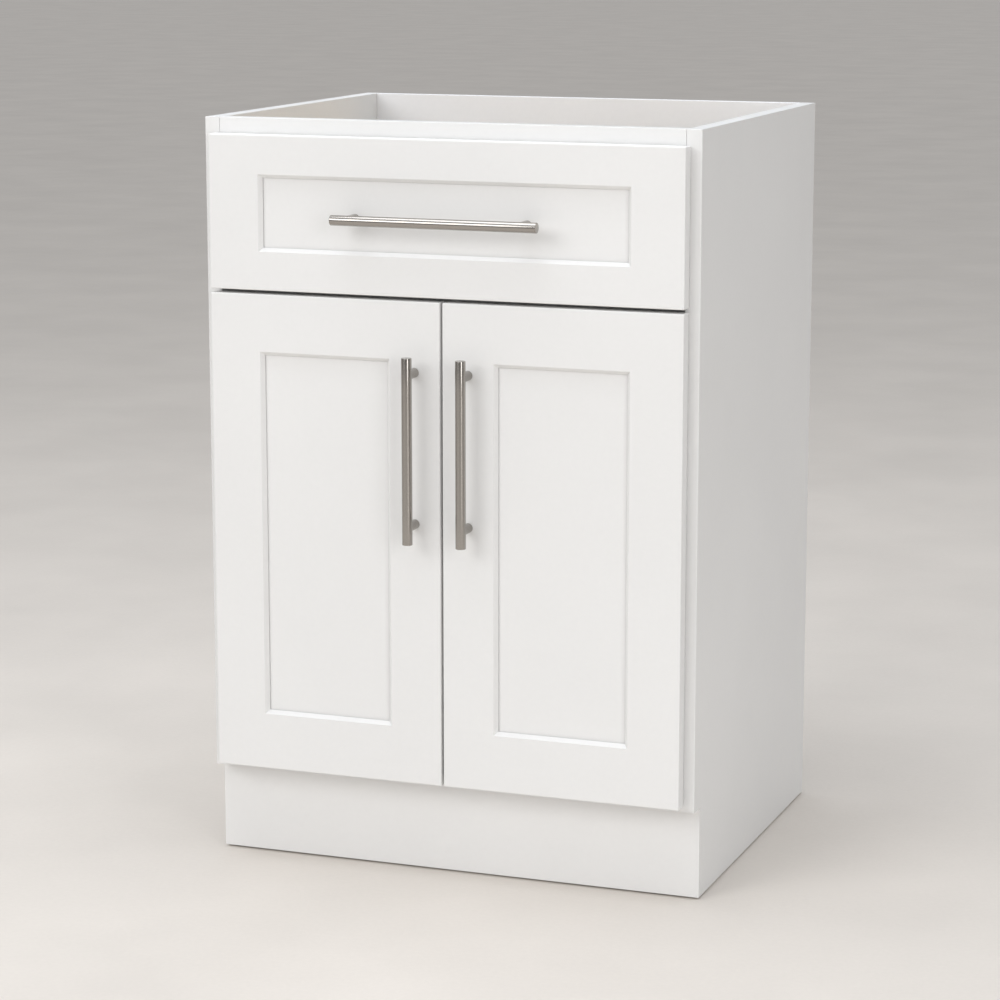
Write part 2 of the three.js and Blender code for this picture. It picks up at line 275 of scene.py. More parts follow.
def mixed(tree, factor, a, b):
    """Colour a to colour b by factor; a and b may be colours or sockets."""
    node = tree.nodes.new("ShaderNodeMix")
    node.data_type = "RGBA"
    tree.links.new(factor, node.inputs["Factor"])
    for label, colour in (("A", a), ("B", b)):
        socket = next(s for s in node.inputs if s.name == label and s.type == "RGBA")
        feed(tree, socket, colour)
    return next(s for s in node.outputs if s.type == "RGBA")


def painted_skin_group():
    """Sprayed and sanded paint: orange peel, slow tone changes and a little handling sheen."""
    inputs = {
        "Color": (0.8, 0.8, 0.8, 1.0),
        "Shade": 0.94,
        "Peel scale": 700.0,
        "Smooth": 0.3,
        "Rough": 0.42,
    }
    group, source, sink = new_group("Painted skin", inputs)
    vector = source.outputs["Vector"]
    cloud = noise(group, vector, 3.2, detail=4.0)
    fleck = noise(group, vector, 160.0, detail=3.0)
    tone = sum_of(group, cloud, fleck, 0.75, 0.25)
    shade = ranged(group, tone, source.outputs["Shade"], 1.0, 0.35, 0.65)
    group.links.new(dimmed(group, source.outputs["Color"], shade), sink.inputs["Color"])
    rub = noise(group, vector, 11.0, detail=5.0, roughness=0.6)
    low, high = source.outputs["Smooth"], source.outputs["Rough"]
    group.links.new(ranged(group, rub, low, high, 0.3, 0.7), sink.inputs["Roughness"])
    peel = noise(group, vector, source.outputs["Peel scale"], detail=1.5)
    wave = noise(group, vector, 45.0, detail=1.0)
    group.links.new(sum_of(group, peel, wave, 0.35, 0.65), sink.inputs["Height"])
    return group


def brushed_group():
    """Fine scratches across the first axis, in two weights, with light smudges."""
    inputs = {"Color": (0.6, 0.6, 0.6, 1.0), "Smooth": 0.2, "Rough": 0.38}
    group, source, sink = new_group("Brushed metal", inputs)
    vector = source.outputs["Vector"]
    fine = noise(group, scaled(group, vector, (9000.0, 90.0, 90.0)), 1.0, detail=3.0)
    broad = noise(group, scaled(group, vector, (1400.0, 40.0, 40.0)), 1.0, detail=2.0)
    lines = sum_of(group, fine, broad, 0.75, 0.25)
    smudge = noise(group, vector, 12.0, detail=2.0)
    colour = source.outputs["Color"]
    amount = ranged(group, lines, 0.0, 1.0, 0.3, 0.62)
    tint = mixed(group, amount, dimmed(group, colour, 0.88), colour)
    group.links.new(tint, sink.inputs["Color"])
    sheen = sum_of(group, lines, smudge, 0.85, 0.15)
    low, high = source.outputs["Smooth"], source.outputs["Rough"]
    group.links.new(ranged(group, sheen, low, high, 0.35, 0.65), sink.inputs["Roughness"])
    group.links.new(fine, sink.inputs["Height"])
    return group


def wood_grain_group():
    """Rotary-cut birch: long soft figure, short pores along the first axis, and a few dark flecks."""
    inputs = {
        "Color": (0.7, 0.5, 0.3, 1.0),
        "Figure color": (0.5, 0.3, 0.15, 1.0),
        "Smooth": 0.35,
        "Rough": 0.5,
    }
    group, source, sink = new_group("Wood grain", inputs)
    vector = source.outputs["Vector"]
    drift = noise(group, scaled(group, vector, (2.2, 16.0, 16.0)), 1.0, detail=4.0, roughness=0.55)
    figure = noise(group, scaled(group, vector, (5.0, 95.0, 95.0)), 1.0, detail=5.0, roughness=0.6)
    pores = noise(group, scaled(group, vector, (70.0, 1500.0, 1500.0)), 1.0, detail=2.0)
    body = sum_of(group, drift, figure, 0.5, 0.5)
    amount = sum_of(group, body, pores, 0.78, 0.22)
    tint = mixed(
        group,
        ranged(group, amount, 0.0, 0.75, 0.38, 0.66),
        source.outputs["Color"],
        source.outputs["Figure color"],
    )
    group.links.new(tint, sink.inputs["Color"])
    low, high = source.outputs["Smooth"], source.outputs["Rough"]
    group.links.new(ranged(group, figure, low, high, 0.3, 0.7), sink.inputs["Roughness"])
    group.links.new(sum_of(group, pores, figure, 0.7, 0.3), sink.inputs["Height"])
    return group


# ---- materials ---------------------------------------------------------------------------------

PLY = 1.4 * MM  # thickness of one ply
PLY_BLEND = (0.55 * MM, 0.85 * MM)  # where the tone of one ply turns into the next
CLEAR_COAT = {"Coat Weight": 0.15, "Coat Roughness": 0.25}
METAL = {"Metallic": 1.0}


def rgba(colour, shade=1.0):
    """A colour, darkened by shade, with its alpha."""
    return (*(c * shade for c in colour), 1.0)


def shader(name, group, values, vector="Object", bump=0.0, uniform=None):
    """A Principled material whose colour, roughness and bump height come from one of the groups.

    vector is "Object" or an attribute's name, bump is the relief's height in metres, and uniform
    holds the shader's own values that are the same all over.
    """
    made = bpy.data.materials.new(name)
    made.use_nodes = True
    tree = made.node_tree
    principled = tree.nodes["Principled BSDF"]
    for label, value in (uniform or {}).items():
        principled.inputs[label].default_value = value
    skin = tree.nodes.new("ShaderNodeGroup")
    skin.node_tree = group
    for label, value in values.items():
        skin.inputs[label].default_value = value
    if vector == "Object":
        place = tree.nodes.new("ShaderNodeTexCoord").outputs["Object"]
    else:
        attribute = tree.nodes.new("ShaderNodeAttribute")
        attribute.attribute_name = vector
        place = attribute.outputs["Vector"]
    tree.links.new(place, skin.inputs["Vector"])
    tree.links.new(skin.outputs["Color"], principled.inputs["Base Color"])
    tree.links.new(skin.outputs["Roughness"], principled.inputs["Roughness"])
    relief = tree.nodes.new("ShaderNodeBump")
    relief.inputs["Strength"].default_value = 1.0
    relief.inputs["Distance"].default_value = bump
    tree.links.new(skin.outputs["Height"], relief.inputs["Height"])
    tree.links.new(relief.outputs["Normal"], principled.inputs["Normal"])
    return made


def spread_along(metal):
    """Stretches reflections along each bar, across its scratches; "along" holds the direction."""
    tree = metal.node_tree
    attribute = tree.nodes.new("ShaderNodeAttribute")
    attribute.attribute_name = "along"
    turn = tree.nodes.new("ShaderNodeVectorTransform")
    turn.vector_type = "VECTOR"
    turn.convert_from, turn.convert_to = "OBJECT", "WORLD"
    tree.links.new(attribute.outputs["Vector"], turn.inputs[0])
    tree.links.new(turn.outputs[0], tree.nodes["Principled BSDF"].inputs["Tangent"])


def ply_edge_material(grain, birch):
    """Cut edge of plywood: thin plies, long grain and end grain in turn, across the third axis."""
    edge = shader(
        "Birch ply edge",
        grain,
        {
            "Color": rgba(birch),
            "Figure color": rgba(birch, 0.62),
            "Smooth": 0.5,
            "Rough": 0.68,
        },
        vector="grain",
        bump=0.05 * MM,
    )
    tree = edge.node_tree
    principled = tree.nodes["Principled BSDF"]
    attribute = next(n for n in tree.nodes if n.type == "ATTRIBUTE")
    split = tree.nodes.new("ShaderNodeSeparateXYZ")
    tree.links.new(attribute.outputs["Vector"], split.inputs[0])
    bands = tree.nodes.new("ShaderNodeMath")
    bands.operation = "PINGPONG"
    tree.links.new(split.outputs["Z"], bands.inputs[0])
    bands.inputs[1].default_value = PLY
    dark = ranged(tree, bands.outputs[0], 0.0, 0.8, *PLY_BLEND)
    plain = principled.inputs["Base Color"].links[0].from_socket
    tree.links.new(mixed(tree, dark, plain, rgba(birch, 0.5)), principled.inputs["Base Color"])
    return edge


def make_materials(finish):
    paint_skin, brushed, grain = painted_skin_group(), brushed_group(), wood_grain_group()
    nickel = rgba(finish.nickel)
    birch = tuple(finish.birch)
    steel = rgba((0.62, 0.62, 0.61))
    zinc = rgba((0.52, 0.54, 0.56))
    made = {
        "paint": shader(
            "Satin white paint",
            paint_skin,
            {"Color": rgba(finish.paint), "Shade": 0.965, "Smooth": 0.33, "Rough": 0.45},
            bump=0.03 * MM,
        ),
        "board": shader(
            "White coated board",
            paint_skin,
            {
                "Color": rgba(finish.board),
                "Shade": 0.95,
                "Peel scale": 420.0,
                "Smooth": 0.4,
                "Rough": 0.55,
            },
            bump=0.05 * MM,
        ),
        "nickel": shader(
            "Brushed nickel",
            brushed,
            {"Color": nickel, "Smooth": 0.16, "Rough": 0.21},
            vector="brush",
            bump=0.0002 * MM,
            uniform={**METAL, "Anisotropic": 0.85},
        ),
        "steel": shader(
            "Nickel plated steel",
            brushed,
            {"Color": steel, "Smooth": 0.14, "Rough": 0.3},
            bump=0.003 * MM,
            uniform=METAL,
        ),
        "zinc": shader(
            "Zinc plated steel",
            brushed,
            {"Color": zinc, "Smooth": 0.3, "Rough": 0.48},
            bump=0.004 * MM,
            uniform=METAL,
        ),
        "birch": shader(
            "Lacquered birch",
            grain,
            {
                "Color": rgba(birch),
                "Figure color": rgba(birch, 0.72),
                "Smooth": 0.32,
                "Rough": 0.46,
            },
            vector="grain",
            bump=0.03 * MM,
            uniform=CLEAR_COAT,
        ),
        "ply_edge": ply_edge_material(grain, birch),
        "rubber": shader(
            "Clear bumper",
            paint_skin,
            {"Color": rgba((0.62, 0.64, 0.66)), "Shade": 0.9, "Smooth": 0.15, "Rough": 0.3},
            bump=0.01 * MM,
            uniform={"Transmission Weight": 0.35},
        ),
    }
    spread_along(made["nickel"])
    return made


MATERIALS = {}


def material(key):
    """One of the made materials, all built at the first call."""
    if not MATERIALS:
        MATERIALS.update(make_materials(bpy.context.scene.vanity_finish))
    return MATERIALS[key]


# ---- mesh helpers ------------------------------------------------------------------------------


def merged(node):
    """A CAD node's shape as a welded mesh with flat faces joined up."""
    bm = bmesh.new()
    bm.from_mesh(frame["nodes"][node].data)
    bmesh.ops.remove_doubles(bm, verts=bm.verts, dist=WELD)
    bmesh.ops.dissolve_limit(
        bm, angle_limit=math.radians(0.5), verts=bm.verts, edges=bm.edges, delimit={"NORMAL"}
    )
    return bm


def folds(bm, angle=40.0):
    """The edges where two faces meet at more than angle degrees."""
    limit = math.radians(angle)
    return [e for e in bm.edges if e.is_manifold and e.calc_face_angle() > limit]


def ease(bm, edges, radius, segments=3):
    """Rounds edges over."""
    bmesh.ops.bevel(
        bm,
        geom=edges,
        offset=radius,
        offset_type="OFFSET",
        segments=segments,
        profile=0.5,
        affect="EDGES",
        clamp_overlap=True,
    )


def joined_box(nodes):
    """The box round several CAD nodes."""
    boxes = [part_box(n) for n in nodes]
    low = Vector([min(b[0][i] for b in boxes) for i in range(3)])
    high = Vector([max(b[1][i] for b in boxes) for i in range(3)])
    return low, high


def face_x(node, side):
    """Where a CAD node's left or right face is."""
    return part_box(node)[SIDES.index(side)].x


def centre_of(node):
    """The middle of a CAD node's box."""
    low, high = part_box(node)
    return (low + high) / 2


def rim(bm, box):
    """The edges of bm that lie on the twelve edges of box."""

    def walls(vert):
        return {
            (i, j) for i in range(3) for j in range(2) if abs(vert.co[i] - box[j][i]) < NEAR
        }

    return [e for e in bm.edges if len(walls(e.verts[0]) & walls(e.verts[1])) >= 2]


def finished(bm, name, key, smooth_angle=32.0):
    """Turns bm into an object with smooth curves and crisp folds."""
    mesh = bpy.data.meshes.new(name)
    limit = math.radians(smooth_angle)
    for face in bm.faces:
        face.smooth = True
    for edge in bm.edges:
        edge.smooth = not edge.is_manifold or edge.calc_face_angle() < limit
    bm.to_mesh(mesh)
    bm.free()
    mesh.materials.append(material(key))
    piece = bpy.data.objects.new(name, mesh)
    bpy.context.scene.collection.objects.link(piece)
    return piece


def even_normals(piece):
    """Keeps flat faces flat up to their eased edges."""
    weighted = piece.modifiers.new("Even normals", "WEIGHTED_NORMAL")
    weighted.weight = 100
    weighted.keep_sharp = True
    return piece


def stand_for(piece, node):
    """piece takes a CAD node's place and body, and the node is hidden."""
    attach(piece, frame["nodes"][node]["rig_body"])
    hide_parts(node)
    return piece


def lift_outer_edges(bm, base):
    """Slopes the underside up towards the outer faces, which leaves a thin gap over the floor."""
    geometry = bm.verts[:] + bm.edges[:] + bm.faces[:]
    bmesh.ops.bisect_plane(
        bm, geom=geometry, dist=NEAR, plane_co=(0.0, 0.0, FLOOR_GAP), plane_no=(0.0, 0.0, 1.0)
    )
    for vert in bm.verts:
        if vert.co.z > NEAR:
            continue
        for axis in (0, 1):
            for wall, way in ((base[0][axis], 1), (base[1][axis], -1)):
                if abs(vert.co[axis] - wall) < NEAR:
                    vert.co[axis] += way * FLOOR_GAP_DEPTH


def eased_board(node, radius, key):
    """A board with small rounded edges; one that stands on the floor gets a gap at its foot."""
    bm = merged(node)
    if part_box(node)[0].z < NEAR:
        lift_outer_edges(bm, joined_box(["toe_kick_board", "back_panel"]))
    ease(bm, [e for e in folds(bm) if min(v.co.z for v in e.verts) > FLOOR_GAP + NEAR], radius)
    return stand_for(even_normals(finished(bm, f"{node}_board", key)), node)


def mark_vector(piece, label, axes, shift=Vector()):
    """Stores each point's place with its axes in the order that a pattern needs."""
    store = piece.data.attributes.new(label, "FLOAT_VECTOR", "POINT")
    for i, vert in enumerate(piece.data.vertices):
        co = vert.co + shift
        store.data[i].vector = (co[axes[0]], co[axes[1]], co[axes[2]])


def mark_direction(piece, label, axis):
    """Stores one axis as a direction at every point."""
    direction = [float(i == axis) for i in range(3)]
    store = piece.data.attributes.new(label, "FLOAT_VECTOR", "POINT")
    store.data.foreach_set("vector", direction * len(piece.data.vertices))


# ---- geometry node trees -----------------------------------------------------------------------


def tree_with(name, sockets):
    """An empty geometry tree with the named inputs {label: (kind, default)}."""
    tree = bpy.data.node_groups.new(name, "GeometryNodeTree")
    tree.interface.new_socket("Geometry", in_out="INPUT", socket_type="NodeSocketGeometry")
    for label, (kind, value) in sockets.items():
        socket = tree.interface.new_socket(label, in_out="INPUT", socket_type=kind)
        if value is not None:
            socket.default_value = value
    tree.interface.new_socket("Geometry", in_out="OUTPUT", socket_type="NodeSocketGeometry")
    return tree, tree.nodes.new("NodeGroupInput"), tree.nodes.new("NodeGroupOutput")


def gn_math(tree, operation, a, b):
    node = tree.nodes.new("ShaderNodeMath")
    node.operation = operation
    for socket, value in zip(node.inputs, (a, b)):
        feed(tree, socket, value)
    return node.outputs[0]


def gn_vector(tree, x, y, z):
    node = tree.nodes.new("ShaderNodeCombineXYZ")
    for socket, value in zip(node.inputs, (x, y, z)):
        feed(tree, socket, value)
    return node.outputs[0]


def gn_block(tree, size, place, turn=0.0):
    """A cutting block inside a tree, as a geometry socket."""
    block = tree.nodes.new("GeometryNodeMeshCube")
    tree.links.new(size, block.inputs["Size"])
    move = tree.nodes.new("GeometryNodeTransform")
    tree.links.new(block.outputs["Mesh"], move.inputs["Geometry"])
    tree.links.new(place, move.inputs["Translation"])
    move.inputs["Rotation"].default_value = (0.0, 0.0, turn)
    return move.outputs["Geometry"]


def gn_dome(tree, diameter, height, segments, rings):
    """A ball squashed so that it stands height above its middle."""
    ball = tree.nodes.new("GeometryNodeMeshUVSphere")
    ball.inputs["Segments"].default_value = segments
    ball.inputs["Rings"].default_value = rings
    tree.links.new(gn_math(tree, "MULTIPLY", diameter, 0.5), ball.inputs["Radius"])
    squash = tree.nodes.new("GeometryNodeTransform")
    tree.links.new(ball.outputs["Mesh"], squash.inputs["Geometry"])
    ratio = gn_math(tree, "MULTIPLY", gn_math(tree, "DIVIDE", height, diameter), 2.0)
    tree.links.new(gn_vector(tree, 1.0, 1.0, ratio), squash.inputs["Scale"])
    return squash.outputs["Geometry"]


def gn_place_on_points(tree, source, sink, shape, spin):
    """Stands shape on every point, its +Z along the point's facing, then ends the tree."""
    facing = tree.nodes.new("GeometryNodeInputNamedAttribute")
    facing.data_type = "FLOAT_VECTOR"
    facing.inputs["Name"].default_value = "facing"
    align = tree.nodes.new("FunctionNodeAlignRotationToVector")
    align.axis = "Z"
    tree.links.new(facing.outputs["Attribute"], align.inputs["Vector"])
    rotation = align.outputs["Rotation"]
    if spin:
        amount = tree.nodes.new("FunctionNodeRandomValue")
        amount.data_type = "FLOAT_VECTOR"
        amount.inputs["Min"].default_value = (0.0, 0.0, 0.0)
        amount.inputs["Max"].default_value = (0.0, 0.0, math.pi)
        tree.links.new(source.outputs["Seed"], amount.inputs["Seed"])
        turn = tree.nodes.new("FunctionNodeRotateRotation")
        turn.rotation_space = "LOCAL"
        tree.links.new(rotation, turn.inputs["Rotation"])
        euler = tree.nodes.new("FunctionNodeEulerToRotation")
        tree.links.new(amount.outputs["Value"], euler.inputs["Euler"])
        tree.links.new(euler.outputs["Rotation"], turn.inputs["Rotate By"])
        rotation = turn.outputs["Rotation"]
    scatter = tree.nodes.new("GeometryNodeInstanceOnPoints")
    tree.links.new(source.outputs["Geometry"], scatter.inputs["Points"])
    tree.links.new(shape, scatter.inputs["Instance"])
    tree.links.new(rotation, scatter.inputs["Rotation"])
    realize = tree.nodes.new("GeometryNodeRealizeInstances")
    tree.links.new(scatter.outputs["Instances"], realize.inputs["Geometry"])
    paint = tree.nodes.new("GeometryNodeSetMaterial")
    tree.links.new(realize.outputs["Geometry"], paint.inputs["Geometry"])
    tree.links.new(source.outputs["Material"], paint.inputs["Material"])
    tree.links.new(paint.outputs["Geometry"], sink.inputs["Geometry"])


def screw_tree():
    """Pan-head screws with a cross recess."""
    sockets = {
        "Diameter": ("NodeSocketFloat", 6.4 * MM),
        "Height": ("NodeSocketFloat", 1.8 * MM),
        "Seed": ("NodeSocketInt", 3),
        "Material": ("NodeSocketMaterial", None),
    }
    tree, source, sink = tree_with("Pan-head screws", sockets)
    diameter, height = source.outputs["Diameter"], source.outputs["Height"]
    dome = gn_dome(tree, diameter, height, segments=28, rings=14)
    under_size = gn_math(tree, "MULTIPLY", diameter, 2.0)
    under = gn_block(
        tree,
        gn_vector(tree, under_size, under_size, under_size),
        gn_vector(tree, 0.0, 0.0, gn_math(tree, "MULTIPLY", diameter, -1.0)),
    )
    slot_size = gn_vector(
        tree,
        gn_math(tree, "MULTIPLY", diameter, 0.56),
        gn_math(tree, "MULTIPLY", diameter, 0.13),
        gn_math(tree, "MULTIPLY", height, 1.1),
    )
    slot_place = gn_vector(tree, 0.0, 0.0, height)
    cut = tree.nodes.new("GeometryNodeMeshBoolean")
    cut.operation = "DIFFERENCE"
    cut.solver = "EXACT"
    tree.links.new(dome, cut.inputs["Mesh 1"])
    for block in (
        under,
        gn_block(tree, slot_size, slot_place),
        gn_block(tree, slot_size, slot_place, math.pi / 2),
    ):
        tree.links.new(block, cut.inputs["Mesh 2"])
    gn_place_on_points(tree, source, sink, cut.outputs["Mesh"], spin=True)
    return tree


def stud_tree():
    """Round studs: balls, or squashed ones for bumpers."""
    sockets = {
        "Diameter": ("NodeSocketFloat", 8.0 * MM),
        "Height": ("NodeSocketFloat", 1.6 * MM),
        "Material": ("NodeSocketMaterial", None),
    }
    tree, source, sink = tree_with("Round studs", sockets)
    diameter, height = source.outputs["Diameter"], source.outputs["Height"]
    dome = gn_dome(tree, diameter, height, segments=20, rings=10)
    smooth = tree.nodes.new("GeometryNodeSetShadeSmooth")
    tree.links.new(dome, smooth.inputs["Geometry"])
    gn_place_on_points(tree, source, sink, smooth.outputs["Geometry"], spin=False)
    return tree


TREES = {}


def scattered(name, builder, places, body, values):
    """Runs a tree on a cloud of (place, facing) points and keeps the plain mesh that it makes."""
    if builder not in TREES:
        TREES[builder] = builder()
    tree = TREES[builder]
    mesh = bpy.data.meshes.new(name)
    mesh.from_pydata([place for place, _ in places], [], [])
    facing = mesh.attributes.new("facing", "FLOAT_VECTOR", "POINT")
    for i, (_, direction) in enumerate(places):
        facing.data[i].vector = direction
    cloud = bpy.data.objects.new(f"{name}_points", mesh)
    bpy.context.scene.collection.objects.link(cloud)
    modifier = cloud.modifiers.new("Scatter", "NODES")
    modifier.node_group = tree
    inputs = {s.name: s.identifier for s in tree.interface.items_tree if s.in_out == "INPUT"}
    for label, value in values.items():
        modifier[inputs[label]] = value
    evaluated = cloud.evaluated_get(bpy.context.evaluated_depsgraph_get())
    plain = bpy.data.meshes.new_from_object(evaluated)
    plain.name = name
    bpy.data.objects.remove(cloud)
    piece = bpy.data.objects.new(name, plain)
    bpy.context.scene.collection.objects.link(piece)
    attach(piece, body)
    return piece


def screws(name, places, body, size, key="zinc", seed=3):
    """Screw heads of one (diameter, height) at each (place, facing)."""
    diameter, height = size
    values = {"Diameter": diameter, "Height": height, "Seed": seed, "Material": material(key)}
    return scattered(name, screw_tree, places, body, values)


def studs(name, places, body, size, key):
    """Balls or bumpers of one (diameter, height) at each (place, facing)."""
    diameter, height = size
    values = {"Diameter": diameter, "Height": height, "Material": material(key)}
    return scattered(name, stud_tree, places, body, values)


# ---- carcass -----------------------------------------------------------------------------------


class VANITY_OT_carcass(bpy.types.Operator):
    """Side panels, floor, back, rails and toe kick"""

    bl_idname = "vanity.carcass"
    bl_label = "Carcass"

    def execute(self, context):
        radius = context.scene.vanity_detail.board_easing
        painted = [f"{side}_side_panel" for side in SIDES]
        painted += ["top_front_rail", "middle_rail", "toe_kick_board"]
        for node in painted:
            eased_board(node, radius, "paint")
        for node in ("cabinet_floor", "back_panel"):
            eased_board(node, radius, "board")
        return {"FINISHED"}


# ---- framed fronts -----------------------------------------------------------------------------


def close_joint(bm, rail, panel):
    """Brings a rail's shoulders and tenons up against the stiles, as glue and paint fill them."""
    middle = (rail[0].x + rail[1].x) / 2
    for vert in bm.verts:
        tenon_end = min(abs(vert.co.x - end.x) for end in rail) < NEAR
        reach = JOINT_GAP + (GROOVE_SPARE if tenon_end else 0.0)
        vert.co.x += math.copysign(reach, vert.co.x - middle)
        for face, way in ((panel[0].y, 1), (panel[1].y, -1)):
            if abs(vert.co.y - (face + way * JOINT_GAP)) < NEAR:
                vert.co.y -= way * 2 * JOINT_GAP


def open_groove(bm, panel_face):
    """Ends the sloping inner edge a little short of the panel, for the thin shadow line there."""
    for vert in bm.verts:
        if abs(vert.co.y - (panel_face - JOINT_GAP)) < NEAR:
            vert.co.y -= SHADOW_LINE


def framed_front(prefix, upright_names, easing):
    """Two stiles, two rails and a flat panel, with the outside edges rounded over."""
    uprights = [f"{prefix}_{name}" for name in upright_names]
    rails = [f"{prefix}_top_rail", f"{prefix}_bottom_rail"]
    panel = f"{prefix}_panel"
    whole = joined_box(uprights + rails)
    for node in uprights + rails:
        bm = merged(node)
        ease(bm, rim(bm, whole), easing, segments=4)
        if node in rails:
            close_joint(bm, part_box(node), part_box(panel))
        open_groove(bm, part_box(panel)[0].y)
        piece = even_normals(finished(bm, f"{node}_shaped", "paint"))
        stand_for(piece, node)
    stand_for(finished(merged(panel), f"{panel}_flat", "paint"), panel)


class VANITY_OT_doors(bpy.types.Operator):
    """Two doors, each a frame of stiles and rails round a flat panel"""

    bl_idname = "vanity.doors"
    bl_label = "Doors"

    def execute(self, context):
        easing = context.scene.vanity_detail.front_easing
        for side in SIDES:
            framed_front(f"{side}_door", ("outer_stile", "inner_stile"), easing)
        return {"FINISHED"}


class VANITY_OT_drawer_front(bpy.types.Operator):
    """The wide framed drawer front"""

    bl_idname = "vanity.drawer_front"
    bl_label = "Drawer front"

    def execute(self, context):
        easing = context.scene.vanity_detail.front_easing
        framed_front("drawer_front", ("left_stile", "right_stile"), easing)
        return {"FINISHED"}


# ---- drawer box --------------------------------------------------------------------------------

DRAWER_BOARDS = {  # board: (its grain axis, the axis across it, the axis through it)
    "drawer_box_left_side": (1, 2, 0),
    "drawer_box_right_side": (1, 2, 0),
    "drawer_box_front": (0, 2, 1),
    "drawer_box_back": (0, 2, 1),
    "drawer_box_bottom": (0, 1, 2),
}
PLY_EASING = 0.8 * MM
GRAIN_STEP = Vector((0.37, 0.21, 0.0))  # how far the grain moves on from board to board


class VANITY_OT_drawer_box(bpy.types.Operator):
    """Birch plywood drawer box with its plies showing on the cut edges"""

    bl_idname = "vanity.drawer_box"
    bl_label = "Drawer box"

    def execute(self, context):
        for number, (node, axes) in enumerate(DRAWER_BOARDS.items()):
            bm = merged(node)
            ease(bm, rim(bm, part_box(node)), PLY_EASING)
            piece = finished(bm, f"{node}_ply", "birch")
            shift = GRAIN_STEP * number
            shift[axes[2]] = -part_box(node)[0][axes[2]]
            mark_vector(piece, "grain", axes, shift)
            piece.data.materials.append(material("ply_edge"))
            for face in piece.data.polygons:
                if abs(face.normal[axes[2]]) < 0.5:
                    face.material_index = 1
            stand_for(even_normals(piece), node)
        return {"FINISHED"}


# ---- bar pulls ---------------------------------------------------------------------------------

BAR_RIM = 0.55 * MM  # radius on the ends of a bar
BAR_SEGMENTS = 96
POST_SEGMENTS = 64
POST_FOOT = 0.5 * MM  # chamfer where a post meets the front
POST_RINGS = 5
SEAT_GAP = 0.02 * MM  # between a bar and the hollow end of its post


def lathed(profile, segments, place, axis):
    """Turns (radius, along) points round an axis; the ends close on the axis."""
    u, v = [i for i in range(3) if i != axis]
    bm = bmesh.new()
    rings = []
    for radius, along in profile:
        ring = []
        for k in range(segments if radius > 0 else 1):
            angle = math.tau * k / segments
            co = Vector(place)
            co[axis] = along
            co[u] += radius * math.cos(angle)
            co[v] += radius * math.sin(angle)
            ring.append(bm.verts.new(co))
        rings.append(ring)
    for lower, upper in zip(rings, rings[1:]):
        for k in range(segments):
            corners = [lower[k % len(lower)], lower[(k + 1) % len(lower)]]
            corners += [upper[(k + 1) % len(upper)], upper[k % len(upper)]]
            bm.faces.new(list(dict.fromkeys(corners)))
    bmesh.ops.recalc_face_normals(bm, faces=bm.faces)
    return bm


def quarter_round(radius, along, size, direction, steps=4):
    """Points of a rounded rim from the cylinder wall to the end face."""
    points = []
    for k in range(steps + 1):
        angle = math.pi / 2 * k / steps
        out = radius - size + size * math.cos(angle)
        points.append((out, along - direction * size * (1 - math.sin(angle))))
    return points


def pull_bar(node, axis):
    """A round bar with rounded ends; gives back its middle and radius."""
    low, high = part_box(node)
    radius = (high.y - low.y) / 2
    start, end = low[axis], high[axis]
    profile = [(0.0, start)]
    profile += quarter_round(radius, start, BAR_RIM, -1)[::-1]
    profile += [(radius, start + (end - start) * k / 6) for k in range(1, 6)]
    profile += quarter_round(radius, end, BAR_RIM, 1)
    profile += [(0.0, end)]
    bm = lathed(profile, BAR_SEGMENTS, centre_of(node), axis)
    piece = finished(bm, f"{node}_turned", "nickel")
    mark_vector(piece, "brush", (axis, 1, 2 - axis))
    mark_direction(piece, "along", axis)
    stand_for(piece, node)
    return centre_of(node), radius


def pull_post(node, axis, bar_place, bar_radius, door_face):
    """A round post from the door's face, hollowed at the front to sit against the bar."""
    low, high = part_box(node)
    centre = centre_of(node)
    across = 2 - axis
    radius = (high.z - low.z) / 2
    bm = bmesh.new()

    def ring(scale, depth):
        made = []
        for k in range(POST_SEGMENTS):
            angle = math.tau * k / POST_SEGMENTS
            co = Vector()
            co[axis] = centre[axis] + radius * scale * math.cos(angle)
            co[across] = centre[across] + radius * scale * math.sin(angle)
            offset = min(abs(co[across] - bar_place[across]), bar_radius)
            saddle = bar_place.y + math.sqrt(bar_radius**2 - offset**2) + SEAT_GAP
            co.y = saddle if depth is None else depth
            made.append(bm.verts.new(co))
        return made

    loops = [ring(k / POST_RINGS, None) for k in range(1, POST_RINGS + 1)]
    loops += [ring(1.0, door_face - POST_FOOT), ring(1.0 - POST_FOOT / radius, door_face)]
    for inner, outer in zip(loops, loops[1:]):
        for k in range(POST_SEGMENTS):
            j = (k + 1) % POST_SEGMENTS
            bm.faces.new((inner[k], inner[j], outer[j], outer[k]))
    for loop, y in ((loops[0], bar_place.y + bar_radius + SEAT_GAP), (loops[-1], door_face)):
        hub = bm.verts.new((centre.x, y, centre.z))
        for k in range(POST_SEGMENTS):
            bm.faces.new((loop[k], loop[(k + 1) % POST_SEGMENTS], hub))
    bmesh.ops.recalc_face_normals(bm, faces=bm.faces)
    piece = finished(bm, f"{node}_turned", "nickel", smooth_angle=40.0)
    mark_vector(piece, "brush", (1, 0, 2))
    mark_direction(piece, "along", 1)
    stand_for(piece, node)


